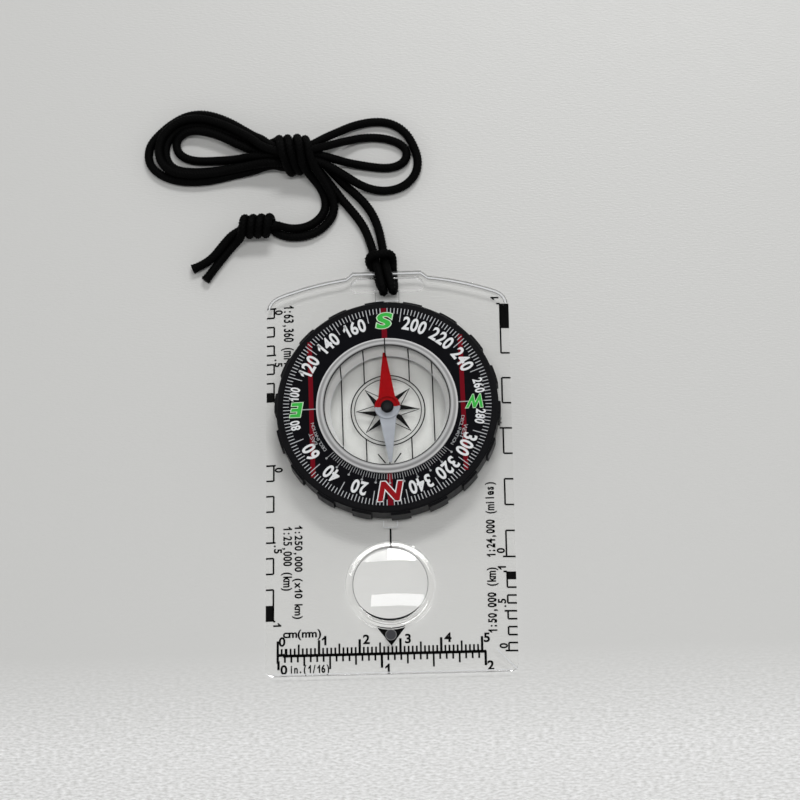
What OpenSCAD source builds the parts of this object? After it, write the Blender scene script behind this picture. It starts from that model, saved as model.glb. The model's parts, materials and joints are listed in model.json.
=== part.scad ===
// Baseplate compass: a clear ruler plate with a turning dial, a liquid-filled
// capsule with a magnetic needle, a magnifier and a braided neck lanyard.
// Millimetres. Origin at the centre of the plate's underside, +Y towards the lanyard.

/* [Base plate] */
// Width of the plate across the side scales
plate_w = 62; // [60:0.5:66]
// Length of the plate from the ruler edge to the lanyard bar
plate_l = 105.2; // [104:0.2:112]
// Thickness of the plate
plate_t = 2.6; // [2.4:0.1:3.2]
// Thickness left at the bevelled edges
edge_t = 1.2; // [0.8:0.1:1.6]
// Width of the bevel on the sides and the ruler edge
bevel_w = 5.3; // [3:0.1:6]
// Radius of the bowed top edge
bow_r = 79; // [76:1:90]

/* [Dial] */
// Distance of the dial axis in front of the plate's centre
dial_y = 14.2; // [12:0.1:15]
// Radius over the grip lugs
bezel_r = 28.4; // [27:0.05:29]
// Height of the graduated face above the table
face_z = 8.2; // [8:0.1:9]
// Outer radius of the graduated face
scale_r = 26.2; // [25.8:0.1:26.3]
// Number of grip lugs
lugs = 18; // [12:1:24]
// Play between the dial's spigot and the hole in the plate
turn_gap = 0.08; // [0.04:0.01:0.1]

/* [Capsule] */
// Outer radius of the capsule
capsule_r = 17.75; // [17:0.05:18]
// Height of the capsule's rim above the table
capsule_z = 9.3; // [9:0.1:10]
// Radius of the clear window
window_r = 15.6; // [15:0.1:16]

/* [Needle] */
// Length of the needle from tip to tip
needle_l = 29; // [26:0.5:30]
// Width of the needle where it meets the hub disc
needle_w = 5; // [4:0.1:6]
// Angle of the north tip from the direction of travel
needle_turn = 2.6; // [-10:0.1:10]
// Height of the needle above the table
needle_z = 5.9; // [5.5:0.1:6.2]

/* [Magnifier] */
// Distance of the lens behind the plate's centre
lens_y = 30.4; // [29:0.1:31]
// Radius of the clear lens
lens_r = 9.25; // [8.5:0.05:9.5]
// Radius of the flange around the lens
flange_r = 11.1; // [10.5:0.05:11.4]

/* [Lanyard] */
// Diameter of the braided cord
cord_d = 2.2; // [2:0.1:2.4]

/* [Hidden] */

eps = 0.01;
fine = 180;
bite = 1; // how far a cutter runs past the face it cuts

// plate outline
half_w = plate_w / 2;
half_l = plate_l / 2;
foot_r = 2;
shoulder_r = 4.5;
bow_top = half_l - 0.7; // the bowed edge stands behind the proud lanyard bar
bow_y = bow_top - bow_r;
shoulder_x = half_w - shoulder_r;
shoulder_y = bow_y + sqrt(pow(bow_r - shoulder_r, 2) - pow(shoulder_x, 2));

// cord slot, the bar outside it, and the marks moulded into the plate
slot_w = 18.6;
slot_h = 3.5;
slot_y = 49.1;
bar_w = 8.8; // half the length of the bar's flat front
bar_relief = 1.5; // the bar is thinner from below, so the cord under it clears the table
relief_w = 16;
channel_w = 6;
channel_d = 0.3;
tab_w = 3.4;
tab_l = 1.8;
gate_y = -44.6;
gate_r = 1.35;

// seat of the dial in the plate
hole_r = 24;
spigot_r = hole_r - turn_gap;
ring_seat_r = 25.7;
ring_seat_z = 1.3;
lift = 0.1; // axial play of the dial, and its clearance to the table

// bezel
body_r = bezel_r - 0.55;
lug_angle = 10;
lug_turn = -3.8;
lug_z = face_z - 0.6;
face_t = 0.32;
bore_r = capsule_r + 0.05;
lip_r = 16.6;
lip_z = 0.9;

// capsule, from its floor up to the pane of its lid
cup_r = capsule_r - 0.05;
cup_in_r = 16.4;
cup_z = 0.95;
floor_z = 2.2;
floor_r = 14.7; // the inner wall tapers in towards the floor
taper_z = 6.8;
boss_r = 1.5;
boss_z = 3.2;
lid_z = face_z + 0.05;
pane_under_z = 7.9;
pane_z = 9;

// pivot, needle and its jewel
pin_r = 0.45;
pin_tip_z = 6.2;
blade_t = 0.4;
disc_r = 3.25;
hub_r = 1.6;
hub_bore_r = 0.75;
hub_top_z = 7.5;
dimple_r = 0.85;
dimple_d = 0.15;
jewel_z = pin_tip_z - 0.15;

// magnifier
lens_dome = 33; // radius of the lens's upper face
lens_top_z = 3.9;

// lanyard
cord_r = cord_d / 2;
hitch_end_y = 57.4;
wrap_x = -23.8;
wrap_y = 85.2;
wrap_l = 9.4;
wrap_r = 5;
knot_x = -33.2;
knot_y = 65.8;
knot_r = 3.8;

// Each route is a list of points on the cord's centre line.
lead_left_path = [[-3.2, 57.4, 1.7], [-4.4, 62, 1.2], [-5.9, 66, 1.2], [-8.6, 70, 1.2],
  [-11.2, 73.2, 1.2], [-13.6, 76.6, 1.4], [-16.2, 80, 2.2], [-19.1, 83.6, 3.2]];
lead_right_path = [[-0.7, 57.4, 1.7], [-1.4, 62, 1.2], [-2.2, 66, 1.2], [-4.2, 70.6, 1.2],
  [-7.2, 74.4, 1.2], [-10.4, 77.4, 1.2], [-13.2, 80.4, 1.6], [-15.9, 83.6, 2.4], [-19.1, 86.3, 3.2]];
tail_inner_path = [[-20.4, 81.2, 2.2], [-17.6, 78.2, 1.4], [-15.9, 75.2, 1.2], [-15.3, 71.8, 1.2],
  [-16.4, 69, 1.2], [-19.9, 66.3, 1.2], [-24.2, 65.6, 1.2], [-30.2, 66.8, 2.6]];
tail_outer_path = [[-20, 82, 6.2], [-16.4, 78.6, 4.4], [-14.2, 75, 3.2], [-13, 71.6, 1.5],
  [-14.5, 67.6, 1.2], [-19, 64, 1.2], [-24, 63.2, 1.2], [-30.2, 64.6, 2.6]];
end_left_path = [[-36, 66.3, 2.9], [-40.4, 64.6, 1.6], [-43.6, 61.4, 1.2], [-46.4, 58.4, 1.2],
  [-50.6, 55.8, 1.2]];
end_right_path = [[-35.8, 63.6, 2.4], [-39, 61.9, 1.4], [-41.8, 59.2, 1.2], [-44.4, 56.4, 1.2],
  [-46.9, 52.4, 1.2]];

// ---- shared shapes ----

// A tube of round section swept along a list of points.
function unit(v) = v / norm(v);
function heading(p, i) =
  i == 0 ? unit(p[1] - p[0]) :
  i == len(p) - 1 ? unit(p[i] - p[i - 1]) : unit(unit(p[i + 1] - p[i]) + unit(p[i] - p[i - 1]));
function ring_of(c, t, r, n) =
  let (u = unit(cross(t, [0, 0, 1])), v = cross(u, t))
  [for (k = [0 : n - 1]) c + r * (cos(360 * k / n) * u + sin(360 * k / n) * v)];

module tube(path, r, sides = 8) {
  count = len(path);
  points = [for (i = [0 : count - 1]) each ring_of(path[i], heading(path, i), r, sides)];
  walls = [for (i = [0 : count - 2], k = [0 : sides - 1])
    let (a = i * sides + k, b = i * sides + (k + 1) % sides)
    each [[a, b, a + sides], [b, b + sides, a + sides]]];
  first = [for (k = [sides - 1 : -1 : 0]) k];
  last = [for (k = [0 : sides - 1]) (count - 1) * sides + k];
  polyhedron(points, concat(walls, [first, last]), convexity = 4);
}

// A flat loop of cord: a round end and a narrow end, with its eye left open.
module teardrop(big, big_r, small, small_r) {
  hull() {
    translate(big) circle(r = big_r, $fn = 32);
    translate(small) circle(r = small_r, $fn = 32);
  }
}

module disc_at(y, z, r, h) {
  translate([0, y, z]) cylinder(r = r, h = h, $fn = fine);
}

// ---- base ----

module plate_outline() {
  square_y = foot_r - half_l;
  translate([-half_w, square_y]) square([plate_w, shoulder_y - square_y]);
  translate([-half_w + foot_r, -half_l]) square([plate_w - 2 * foot_r, foot_r + eps]);
  for (side = [-1, 1]) {
    translate([side * (half_w - foot_r), square_y]) circle(r = foot_r, $fn = fine);
    translate([side * shoulder_x, shoulder_y]) circle(r = shoulder_r, $fn = fine);
  }
  reach = 1.2;
  intersection() {
    translate([0, bow_y]) circle(r = bow_r, $fn = 360);
    polygon([[0, bow_y], [reach * shoulder_x, bow_y + reach * (shoulder_y - bow_y)],
      [-reach * shoulder_x, bow_y + reach * (shoulder_y - bow_y)]]);
  }
}

// The proud middle of the top edge, which the lanyard's bar is cut from.
module bar_outline() {
  polygon([[-bar_w - 2, shoulder_y], [-bar_w - 2, bow_top - 1], [-bar_w, half_l], [bar_w, half_l],
    [bar_w + 2, bow_top - 1], [bar_w + 2, shoulder_y]]);
}

// The wedge that a bevelled edge loses, along a line of the given length.
module bevel_wedge(length) {
  drop = plate_t - edge_t;
  rotate([90, 0, 0])
    linear_extrude(length, center = true)
      polygon([[-bevel_w, plate_t], [-bevel_w, plate_t + bite], [bite, plate_t + bite],
        [bite, edge_t - drop * bite / bevel_w], [0, edge_t]]);
}

module slot_cutter() {
  end_x = (slot_w - slot_h) / 2;
  for (side = [-1, 1])
    translate([side * end_x, slot_y, -bite]) cylinder(d = slot_h, h = plate_t + 2 * bite, $fn = 90);
  translate([-end_x, slot_y - slot_h / 2, -bite]) cube([2 * end_x, slot_h, plate_t + 2 * bite]);
}

module base_plate() {
  color("azure", 0.35)
  difference() {
    union() {
      linear_extrude(plate_t) plate_outline();
      linear_extrude(plate_t) bar_outline();
    }
    for (side = [0, 180])
      rotate([0, 0, side]) translate([half_w, 0, 0]) bevel_wedge(plate_l + 20);
    translate([0, -half_l, 0]) rotate([0, 0, -90]) bevel_wedge(plate_w + 20);
    slot_cutter();
    translate([-relief_w / 2, slot_y, -bite]) cube([relief_w, half_l, bite + bar_relief]);
    translate([-channel_w / 2, dial_y, -bite]) cube([channel_w, slot_y - dial_y, bite + channel_d]);
    disc_at(dial_y, -bite, hole_r, plate_t + 2 * bite);
    disc_at(dial_y, -bite, ring_seat_r, ring_seat_z + bite);
    translate([-tab_w / 2, dial_y - bezel_r - tab_l, plate_t - channel_d])
      cube([tab_w, tab_l, bite]);
    disc_at(-lens_y, -bite, lens_r + 0.15, plate_t + 2 * bite);
    disc_at(-lens_y, edge_t, flange_r, plate_t);
    disc_at(gate_y, plate_t - 0.6, gate_r, bite);
  }
}

module magnifier_lens() {
  flange_in = 0.05;
  color("white", 0.35)
  translate([0, -lens_y, 0]) {
    rotate_extrude($fn = fine)
      polygon([[0, 0.1], [lens_r + 0.1, 0.1], [lens_r + 0.1, edge_t + flange_in],
        [flange_r - flange_in, edge_t + flange_in], [flange_r - flange_in, plate_t],
        [flange_r - 0.8, plate_t + 0.45], [lens_r + 0.3, plate_t + 0.45], [lens_r, plate_t],
        [0, plate_t]]);
    intersection() {
      translate([0, 0, lens_top_z - lens_dome]) sphere(r = lens_dome, $fn = fine);
      translate([0, 0, edge_t]) cylinder(r = lens_r, h = lens_top_z, $fn = fine);
    }
  }
}

// ---- dial ----

module lug() {
  linear_extrude(lug_z - plate_t - lift)
    intersection() {
      difference() {
        circle(r = bezel_r, $fn = fine);
        circle(r = body_r - 0.6, $fn = fine);
      }
      polygon([[0, 0], [2 * bezel_r * cos(lug_angle / 2), 2 * bezel_r * sin(lug_angle / 2)],
        [2 * bezel_r * cos(lug_angle / 2), -2 * bezel_r * sin(lug_angle / 2)]]);
    }
}

module bezel_ring() {
  under_z = plate_t + lift;
  rim = 0.45;
  color([0.06, 0.06, 0.07])
  translate([0, dial_y, 0])
  difference() {
    union() {
      rotate_extrude($fn = fine)
        polygon([[lip_r, lift], [spigot_r, lift], [spigot_r, under_z], [body_r, under_z],
          [body_r, face_z - rim], [body_r - rim, face_z], [scale_r, face_z],
          [scale_r, face_z - face_t], [bore_r, face_z - face_t], [bore_r, lip_z], [lip_r, lip_z]]);
      for (i = [0 : lugs - 1])
        rotate([0, 0, lug_turn + 360 * i / lugs]) translate([0, 0, under_z]) lug();
    }
    rotate_extrude($fn = fine)
      polygon([[bezel_r - rim, lug_z + eps], [bezel_r + bite, lug_z - rim - bite],
        [bezel_r + bite, lug_z + eps]]);
  }
}

module graduated_ring() {
  color([0.1, 0.1, 0.12])
  translate([0, dial_y, face_z - face_t + eps])
    rotate_extrude($fn = fine)
      polygon([[bore_r + 0.05, 0], [scale_r - 0.05, 0], [scale_r - 0.05, face_t],
        [bore_r + 0.05, face_t]]);
}

module retaining_ring() {
  color([0.12, 0.12, 0.13])
  translate([0, dial_y, 0])
    rotate_extrude($fn = fine)
      polygon([[spigot_r, lift], [ring_seat_r - 0.3, lift], [ring_seat_r - 0.3, ring_seat_z - 0.35],
        [ring_seat_r - 0.6, ring_seat_z - lift], [spigot_r, ring_seat_z - lift]]);
}

module capsule_cup() {
  color("whitesmoke", 0.3)
  translate([0, dial_y, 0])
  difference() {
    union() {
      rotate_extrude($fn = fine)
        polygon([[0, cup_z], [cup_r, cup_z], [cup_r, face_z], [cup_in_r, face_z],
          [cup_in_r, taper_z], [floor_r, floor_z], [0, floor_z]]);
      translate([0, 0, floor_z - eps])
        cylinder(r = boss_r, h = boss_z - floor_z + eps, $fn = 60);
    }
    translate([0, 0, cup_z + 0.4]) cylinder(r = pin_r, h = boss_z, $fn = 60);
  }
}

module capsule_lid() {
  color("white", 0.3)
  translate([0, dial_y, 0])
    rotate_extrude($fn = fine)
      polygon([[0, pane_under_z], [cup_in_r - 0.1, pane_under_z], [cup_in_r - 0.1, lid_z],
        [capsule_r, lid_z], [capsule_r, capsule_z - 0.55], [capsule_r - 0.85, capsule_z],
        [window_r + 0.35, capsule_z], [window_r, pane_z], [0, pane_z]]);
}

module pivot_pin() {
  color("silver")
  translate([0, dial_y, 0])
    rotate_extrude($fn = 60)
      polygon([[0, cup_z + 0.4], [pin_r, cup_z + 0.4], [pin_r, pin_tip_z - 1.1],
        [0.08, pin_tip_z], [0, pin_tip_z]]);
}

// ---- needle ----

module needle_blade() {
  tip = needle_l / 2;
  blunt = 0.35;
  color("firebrick")
  translate([0, dial_y, needle_z])
  rotate([0, 0, needle_turn])
  difference() {
    union() {
      linear_extrude(blade_t)
        polygon([[-needle_w / 2, 0], [-blunt, tip], [blunt, tip],
          [needle_w / 2, 0], [blunt, -tip], [-blunt, -tip]]);
      cylinder(r = disc_r, h = blade_t, $fn = 90);
      rotate_extrude($fn = 90)
        polygon([[disc_r - 0.75, 0.1], [disc_r, 0.1], [disc_r - 0.15, 0.75], [disc_r - 0.6, 0.75]]);
    }
    translate([0, 0, -bite]) cylinder(r = hub_r, h = 3 * bite, $fn = 60);
  }
}

module needle_hub() {
  collar = 0.35;
  skirt_z = needle_z - 0.9;
  color([0.08, 0.08, 0.09])
  translate([0, dial_y, 0])
  rotate_extrude($fn = 60)
    polygon([[hub_bore_r, skirt_z], [hub_r + collar, skirt_z], [hub_r + collar, needle_z],
      [hub_r, needle_z], [hub_r, hub_top_z - 0.3], [hub_r - 0.3, hub_top_z], [dimple_r, hub_top_z],
      [dimple_r, hub_top_z - dimple_d], [0, hub_top_z - dimple_d],
      [0, hub_top_z - 0.35], [hub_bore_r, hub_top_z - 0.35]]);
}

module jewel_bearing() {
  color("crimson")
  translate([0, dial_y, 0])
    rotate_extrude($fn = 60)
      polygon([[0, jewel_z + 0.2], [0.35, jewel_z - 0.35], [hub_bore_r, jewel_z - 0.35],
        [hub_bore_r, hub_top_z - 0.35], [0, hub_top_z - 0.35]]);
}

// ---- lanyard ----

// The lark's head round the bar: two runs over it, the slot leg, the run under it and the band.
module lanyard_hitch() {
  gap = 0.1;
  over_h = cord_d + 0.1;
  color([0.05, 0.05, 0.05]) {
    translate([-3.3, 45.8, plate_t + gap]) cube([5.6, 8, over_h]);
    translate([-3.2, slot_y - slot_h / 2 + gap, gap / 2]) cube([5.4, slot_h - 2 * gap, plate_t + 0.3]);
    translate([-4.2, slot_y - slot_h / 2 + gap, gap / 2])
      cube([7.4, half_l + 2 - slot_y, bar_relief - 2 * gap]);
    translate([-4.8, half_l + gap, gap / 2]) cube([8.6, hitch_end_y - half_l - gap, 5.4]);
  }
}

module lanyard_lead_left() {
  color([0.07, 0.07, 0.07]) tube(lead_left_path, cord_r);
}

module lanyard_lead_right() {
  color([0.07, 0.07, 0.07]) tube(lead_right_path, cord_r);
}

module lanyard_tail_inner() {
  color([0.07, 0.07, 0.07]) tube(tail_inner_path, cord_r);
}

module lanyard_tail_outer() {
  color([0.07, 0.07, 0.07]) tube(tail_outer_path, cord_r);
}

module lanyard_end_left() {
  color([0.07, 0.07, 0.07]) tube(end_left_path, cord_r);
}

module lanyard_end_right() {
  color([0.07, 0.07, 0.07]) tube(end_right_path, cord_r);
}

module lanyard_wrap() {
  color([0.05, 0.05, 0.05])
    translate([wrap_x, wrap_y, wrap_r]) rotate([0, 90, 0])
      cylinder(r = wrap_r, h = wrap_l, center = true, $fn = 90);
}

module lanyard_loop_left() {
  wrap_end = wrap_x - wrap_l / 2;
  color([0.07, 0.07, 0.07])
  translate([0, 0, 0.1])
  linear_extrude(2 * cord_d)
    intersection() {
      difference() {
        teardrop([-52.3, 89.5], 11.1, [wrap_end - 1, wrap_y + 0.3], 3.8);
        teardrop([-51.5, 90.2], 2.8, [-37, 87.3], 0.3);
      }
      translate([wrap_end - 60, wrap_y - 30]) square([60, 60]);
    }
}

module lanyard_loop_right() {
  wrap_end = wrap_x + wrap_l / 2;
  color([0.07, 0.07, 0.07])
  translate([0, 0, 0.1])
  linear_extrude(1.5 * cord_d)
    intersection() {
      difference() {
        teardrop([-1.6, 85.5], 11, [wrap_end + 1, 87.4], 2.4);
        teardrop([-1.4, 86.6], 4, [-11, 86.8], 0.5);
      }
      translate([wrap_end, wrap_y - 30]) square([60, 60]);
    }
}

module lanyard_end_knot() {
  color([0.05, 0.05, 0.05])
    translate([knot_x, knot_y, knot_r]) sphere(r = knot_r, $fn = 60);
}

base_plate();
magnifier_lens();
bezel_ring();
graduated_ring();
retaining_ring();
capsule_cup();
capsule_lid();
pivot_pin();
needle_blade();
needle_hub();
jewel_bearing();
lanyard_hitch();
lanyard_lead_left();
lanyard_lead_right();
lanyard_wrap();
lanyard_loop_left();
lanyard_loop_right();
lanyard_tail_inner();
lanyard_tail_outer();
lanyard_end_knot();
lanyard_end_left();
lanyard_end_right();
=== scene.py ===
"""Looks of a baseplate compass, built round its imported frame.

Places are written in millimetres in the frame's axes, and MM turns them into Blender's metres.
Printing, cords and the capsule's liquid are made here. The solid parts are the frame's own.
"""

import json
import math

import bmesh
import bpy
import numpy as np
from mathutils import Matrix, Vector


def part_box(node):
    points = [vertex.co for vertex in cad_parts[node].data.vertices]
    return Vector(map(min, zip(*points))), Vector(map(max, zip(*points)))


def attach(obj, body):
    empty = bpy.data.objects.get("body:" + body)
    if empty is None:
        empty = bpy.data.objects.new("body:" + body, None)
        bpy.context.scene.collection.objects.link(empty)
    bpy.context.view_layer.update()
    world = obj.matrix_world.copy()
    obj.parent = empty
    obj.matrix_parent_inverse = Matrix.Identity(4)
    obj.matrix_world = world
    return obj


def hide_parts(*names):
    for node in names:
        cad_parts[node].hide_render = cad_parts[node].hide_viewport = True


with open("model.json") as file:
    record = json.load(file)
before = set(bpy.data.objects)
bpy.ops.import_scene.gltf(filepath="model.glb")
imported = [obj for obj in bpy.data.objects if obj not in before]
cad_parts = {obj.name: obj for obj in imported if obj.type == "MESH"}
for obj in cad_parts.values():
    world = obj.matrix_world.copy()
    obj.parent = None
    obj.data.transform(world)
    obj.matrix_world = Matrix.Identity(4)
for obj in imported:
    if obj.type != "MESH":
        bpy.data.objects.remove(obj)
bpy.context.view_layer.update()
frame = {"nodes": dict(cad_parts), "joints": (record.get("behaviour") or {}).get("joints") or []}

MM = 0.001
NODE = frame["nodes"]


def middle(node):
    """Centre of a CAD node's box, in millimetres."""
    low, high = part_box(node)
    return np.array((low + high) / 2) / MM


def top(node):
    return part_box(node)[1].z / MM


DIAL = np.array(frame["joints"][0]["pos_m"]) / MM
LENS = middle("magnifier_lens")
PLATE = np.array(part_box("base_plate")[1]) / MM  # half width, half length, thickness
FACE_Z = top("graduated_ring")
RIM_Z = top("capsule_lid")
HUB_Z = top("needle_hub")
NORTH_TURN = 181.4  # the dial's north mark, counter-clockwise from +Y
NEEDLE_TURN = 2.6  # the needle's red end, counter-clockwise from +Y

# ---- camera

VIEW_AZIMUTH, VIEW_ELEVATION, VIEW_ROLL = 7.81, 70.59, -9.05
VIEW_DISTANCE = 655.1
VIEW_LENS = 116.5
VIEW_TARGET = DIAL * (1, 1, 0) + (2.9, 3.9, 0.86)


def make_camera():
    azimuth, elevation, roll = (math.radians(x) for x in (VIEW_AZIMUTH, VIEW_ELEVATION, VIEW_ROLL))
    level = math.cos(elevation)
    back = Vector((math.sin(azimuth) * level, -math.cos(azimuth) * level, math.sin(elevation)))
    side = Vector((math.cos(azimuth), math.sin(azimuth), 0))
    above = back.cross(side)
    right = math.cos(roll) * side + math.sin(roll) * above
    up = math.cos(roll) * above - math.sin(roll) * side
    data = bpy.data.cameras.new("camera")
    data.lens = VIEW_LENS
    data.sensor_width = 36
    data.clip_start, data.clip_end = 0.01, 20
    camera = bpy.data.objects.new("camera", data)
    bpy.context.scene.collection.objects.link(camera)
    pose = Matrix((right, up, back)).transposed().to_4x4()
    pose.translation = (Vector(VIEW_TARGET) + back * VIEW_DISTANCE) * MM
    camera.matrix_world = pose
    bpy.context.scene.camera = camera


make_camera()

# ---- shader nodes


def add_node(tree, kind, inputs=None, **settings):
    """A shader node with its settings made. An input that is a socket is linked to it."""
    made = tree.nodes.new("ShaderNode" + kind)
    for key, value in settings.items():
        setattr(made, key, value)
    for key, value in (inputs or {}).items():
        if isinstance(value, bpy.types.NodeSocket):
            tree.links.new(value, made.inputs[key])
        else:
            made.inputs[key].default_value = value
    return made


def maths(tree, operation, a, b=0.0):
    return add_node(tree, "Math", {0: a, 1: b}, operation=operation).outputs[0]


def two_colours(tree, factor, first, second):
    inputs = {0: factor, 6: (*first, 1), 7: (*second, 1)}
    return add_node(tree, "Mix", inputs, data_type="RGBA").outputs[2]


def object_place(tree, stretch=(1, 1, 1)):
    place = add_node(tree, "TexCoord").outputs["Object"]
    return add_node(tree, "Mapping", {"Vector": place, "Scale": stretch}).outputs[0]


def noise(tree, size, detail=3.0, stretch=(1, 1, 1)):
    """Noise from 0 to 1 with blotches about size millimetres across."""
    inputs = {"Vector": object_place(tree, stretch), "Scale": 1 / (size * MM), "Detail": detail}
    return add_node(tree, "TexNoise", inputs).outputs[0]


def spread(tree, value, low, high):
    """A value from 0 to 1, stretched to run from low to high."""
    return add_node(tree, "MapRange", {0: value, 3: low, 4: high}).outputs[0]


def ramp(tree, value, start, end):
    """0 below start and 1 above end, straight between them."""
    return add_node(tree, "MapRange", {0: value, 1: start, 2: end}).outputs[0]


def bump(tree, height, depth):
    """depth is in millimetres."""
    return add_node(tree, "Bump", {"Height": height, "Distance": depth * MM}).outputs[0]


def dial_radius(tree):
    """Distance from the dial's axis, in millimetres."""
    place = add_node(tree, "TexCoord").outputs["Object"]
    parts = add_node(tree, "SeparateXYZ", {0: place})
    offsets = [maths(tree, "SUBTRACT", parts.outputs[i], DIAL[i] * MM) for i in (0, 1)]
    squares = [maths(tree, "MULTIPLY", offset, offset) for offset in offsets]
    root = maths(tree, "SQRT", maths(tree, "ADD", *squares))
    return maths(tree, "DIVIDE", root, MM)


class Finish:
    """A material under way: its node tree and its Principled shader."""

    def __init__(self, name, **constants):
        self.material = bpy.data.materials.new(name)
        self.material.use_nodes = True
        self.tree = self.material.node_tree
        self.shader = self.tree.nodes["Principled BSDF"]
        self.output = self.tree.nodes["Material Output"]
        self.set(**constants)

    def set(self, **values):
        for key, value in values.items():
            socket = self.shader.inputs[key.replace("_", " ")]
            if isinstance(value, bpy.types.NodeSocket):
                self.tree.links.new(value, socket)
            elif isinstance(value, tuple) and len(value) == 3:
                socket.default_value = (*value, 1)
            else:
                socket.default_value = value


def solid_finish(name, first, second, blotch, roughness, grain, depth, **constants):
    """An opaque finish: two near colours in blotches, uneven gloss and a fine grain."""
    made = Finish(name, **constants)
    tree = made.tree
    patches = noise(tree, blotch)
    made.set(
        Base_Color=two_colours(tree, patches, first, second),
        Roughness=spread(tree, noise(tree, blotch / 3), *roughness),
        Normal=bump(tree, noise(tree, grain, 2.0), depth),
    )
    return made


def clear_finish(name, tint, ior, lets_through=1.0, once=False, **constants):
    """Clear plastic or liquid with a faint waviness.

    Light for what lies behind it passes straight through, scaled by lets_through; above 1 this
    adds painted light to what lies behind. With once, the view is mirrored by one face only, so
    that none of it is trapped inside a flat plate.
    """
    made = Finish(name, Base_Color=tint, IOR=ior, Transmission_Weight=1.0, **constants)
    tree = made.tree
    made.set(
        Roughness=spread(tree, noise(tree, 6), 0.0, 0.03),
        Normal=bump(tree, noise(tree, 9), 0.004),
    )
    surface = made.shader
    rays = ("Is Diffuse Ray", "Is Shadow Ray", "Glossy Depth") if once else (
        "Is Diffuse Ray", "Is Shadow Ray")
    for ray in rays:
        light = add_node(tree, "LightPath").outputs[ray]
        through = add_node(tree, "BsdfTransparent", {"Color": (*[lets_through] * 3, 1)})
        inputs = {0: light, 1: surface.outputs[0], 2: through.outputs[0]}
        surface = add_node(tree, "MixShader", inputs)
    tree.links.new(surface.outputs[0], made.output.inputs["Surface"])
    return made


def braid_finish(name):
    """Black braided cord: dull fibres, a little paler and glossier in places."""
    made = Finish(name, Specular_IOR_Level=0.03)
    tree = made.tree
    fibres = noise(tree, 0.22, 4.0)
    made.set(
        Base_Color=two_colours(tree, fibres, (0.0002, 0.0002, 0.0002), (0.003, 0.003, 0.003)),
        Roughness=spread(tree, noise(tree, 0.8), 0.38, 0.62),
        Normal=bump(tree, fibres, 0.06),
    )
    return made


def needle_finish(name):
    """Red paint on the half that points north and white on the other half."""
    made = Finish(name, Roughness=0.4, Specular_IOR_Level=0.03)
    tree = made.tree
    place = add_node(tree, "TexCoord").outputs["Object"]
    centre = {0: place, 1: tuple(DIAL * MM)}
    from_dial = add_node(tree, "VectorMath", centre, operation="SUBTRACT").outputs[0]
    turn = math.radians(NEEDLE_TURN)
    along = {0: from_dial, 1: (-math.sin(turn), math.cos(turn), 0)}
    forward = add_node(tree, "VectorMath", along, operation="DOT_PRODUCT").outputs["Value"]
    half = ramp(tree, forward, -0.02 * MM, 0.02 * MM)
    worn = spread(tree, noise(tree, 1.5), 0.85, 1.1)
    inputs = {0: half, 6: (0.38, 0.40, 0.44, 1), 7: (0.30, 0.001, 0.003, 1)}
    paint = add_node(tree, "Mix", inputs, data_type="RGBA").outputs[2]
    inputs = {"Hue": 0.5, "Saturation": 1.0, "Value": worn, "Color": paint}
    made.set(
        Base_Color=add_node(tree, "HueSaturation", inputs).outputs[0],
        Normal=bump(tree, noise(tree, 0.4), 0.004),
    )
    return made


def rings_finish(name, rings):
    """Glossy translucent plastic whose grey changes with the distance from the dial's axis, in
    painted rings of highlight and shade.
    """
    made = Finish(name, Specular_IOR_Level=0.6)
    tree = made.tree
    first, last = rings[0][0], rings[-1][0]
    outward = ramp(tree, dial_radius(tree), first, last)
    colours = add_node(tree, "ValToRGB", {0: outward})
    stops = colours.color_ramp.elements
    for place, (radius, grey) in enumerate(rings):
        at = (radius - first) / (last - first)
        stop = stops.new(at) if 0 < place < len(rings) - 1 else stops[0 if place == 0 else -1]
        stop.position, stop.color = at, (grey, grey, grey, 1)
    made.set(
        Base_Color=colours.outputs[0],
        Roughness=spread(tree, noise(tree, 1.5), 0.12, 0.3),
        Normal=bump(tree, noise(tree, 0.8), 0.01),
    )
    return made


def wall_finish(name, inner, outer, dark, light):
    """Frosted plastic, from light at the inner radius to dark at the outer one; the dark is painted
    shade under the capsule's rim.
    """
    made = Finish(name, Roughness=0.5)
    tree = made.tree
    outward = ramp(tree, dial_radius(tree), inner, outer)
    mottle = spread(tree, noise(tree, 0.9), -0.06, 0.06)
    made.set(
        Base_Color=two_colours(tree, maths(tree, "ADD", outward, mottle), light, dark),
        Normal=bump(tree, noise(tree, 0.3), 0.01),
    )
    return made


CLEAR = (1.0, 1.0, 0.995)
ACRYLIC_IOR, LIQUID_IOR = 1.49, 1.42
WALL_INNER, WALL_OUTER = 15.5, 16.4  # radii of the capsule's sloping wall, from above, across which its painted shade darkens
WINDOW_R = 15.6  # the clear part of the capsule's lid
# radius and grey, from the window's edge to the rim's: painted shade in the dark rings, painted
# highlight in the pale ones
RIM_RINGS = (
    (WINDOW_R, 0.01), (15.9, 0.03), (16.0, 0.35), (16.4, 0.55), (16.8, 0.30), (17.15, 0.26),
    (17.5, 0.62),
)
# lets_through above 1 is painted light: what lies under the plate, lens and capsule is lit brighter
ACRYLIC = clear_finish("clear_acrylic", CLEAR, ACRYLIC_IOR, 1.04, once=True)
LENS_ACRYLIC = clear_finish("lens_acrylic", CLEAR, ACRYLIC_IOR, 1.07)
CAPSULE = clear_finish("capsule_clear", (0.995, 1.0, 0.995), ACRYLIC_IOR, 1.08)
LIQUID = clear_finish("capsule_liquid", CLEAR, LIQUID_IOR, Specular_Tint=(0.0, 0.0, 0.0))
RIM_PAINTED_LIGHT = rings_finish("rim_painted_light", RIM_RINGS)
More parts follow.
